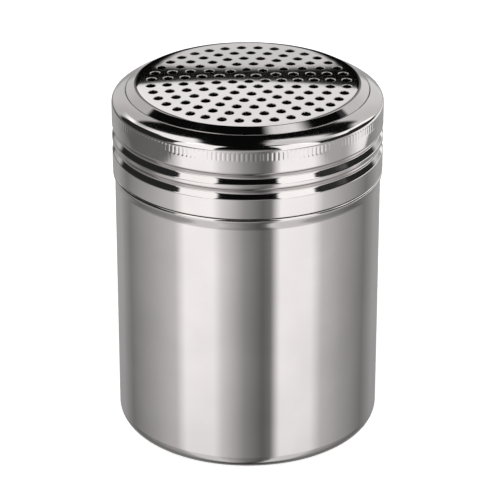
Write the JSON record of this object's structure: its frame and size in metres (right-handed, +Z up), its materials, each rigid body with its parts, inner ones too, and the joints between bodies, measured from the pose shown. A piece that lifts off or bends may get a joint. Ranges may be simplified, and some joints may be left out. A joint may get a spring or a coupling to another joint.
{
  "type": "spice shaker",
  "caption": "Stainless steel spice shaker: a drawn canister with a stop bead, under a push-on knurled cap ring that holds a low domed sifter plate with rings of punched holes.",
  "frame": {"origin": "centre of the base, on the surface that the shaker stands on", "axes": "+Z up along the common axis of canister, cap ring and sifter plate"},
  "size_m": [0.0698, 0.0698, 0.0952],
  "materials": {
    "canister_steel": "brushed round the axis",
    "cap_ring_steel": "fine satin, nearly polished",
    "sifter_plate_steel": "polished"
  },
  "bodies": {
    "canister_body": {"canister": "canister_steel"},
    "sifter": {"sifter_plate": "sifter_plate_steel"},
    "cap": {"cap_ring": "cap_ring_steel"}
  },
  "joints": [
    {"name": "lid_lift", "type": "slide", "parent": "canister_body", "child": "sifter", "axis": [0, 0, 1], "range_m": [0, 0.06]},
    {"name": "cap_turn", "type": "hinge", "parent": "sifter", "child": "cap", "pos_m": [0, 0, 0.0822], "axis": [0, 0, 1], "continuous": true}
  ]
}
